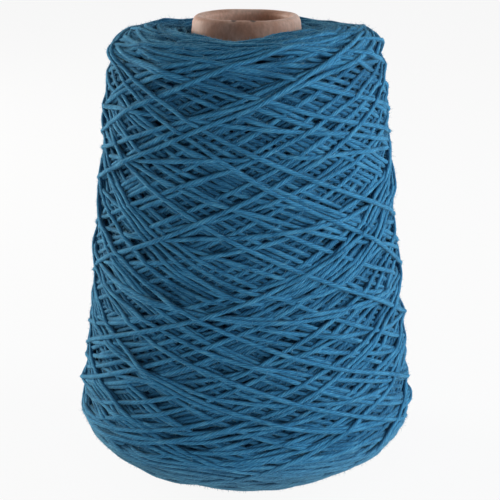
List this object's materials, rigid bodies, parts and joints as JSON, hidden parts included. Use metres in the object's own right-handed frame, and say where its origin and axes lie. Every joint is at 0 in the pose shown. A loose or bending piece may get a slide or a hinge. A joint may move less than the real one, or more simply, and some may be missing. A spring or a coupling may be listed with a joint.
{
  "type": "cone of knitting yarn",
  "caption": "Cross-wound cone of thick plied knitting yarn on a tapered paper cone with a rolled nose, standing on its base ring.",
  "frame": {"origin": "centre of the paper cone's base ring, on the surface it stands on", "axes": "+Z along the cone's axis, from the wide base up to the nose; X and Y are interchangeable"},
  "size_m": [0.1339, 0.1291, 0.17],
  "materials": {
    "kraft_board": "matt wound kraft board, worn paler on the rolled lip, orange-brown inside",
    "teal_yarn": "soft plied yarn in teal blue, slightly fuzzy, with a faint sheen along the plies"
  },
  "bodies": {
    "root": {"paper_cone": "kraft_board", "yarn_first_layer": "teal_yarn", "yarn_second_layer": "teal_yarn", "yarn_third_layer": "teal_yarn", "yarn_outer_layer": "teal_yarn", "last_wrap_1": "teal_yarn", "last_wrap_2": "teal_yarn", "last_wrap_3": "teal_yarn", "last_wrap_4": "teal_yarn", "last_wrap_5": "teal_yarn", "last_wrap_6": "teal_yarn"}
  },
  "joints": []
}
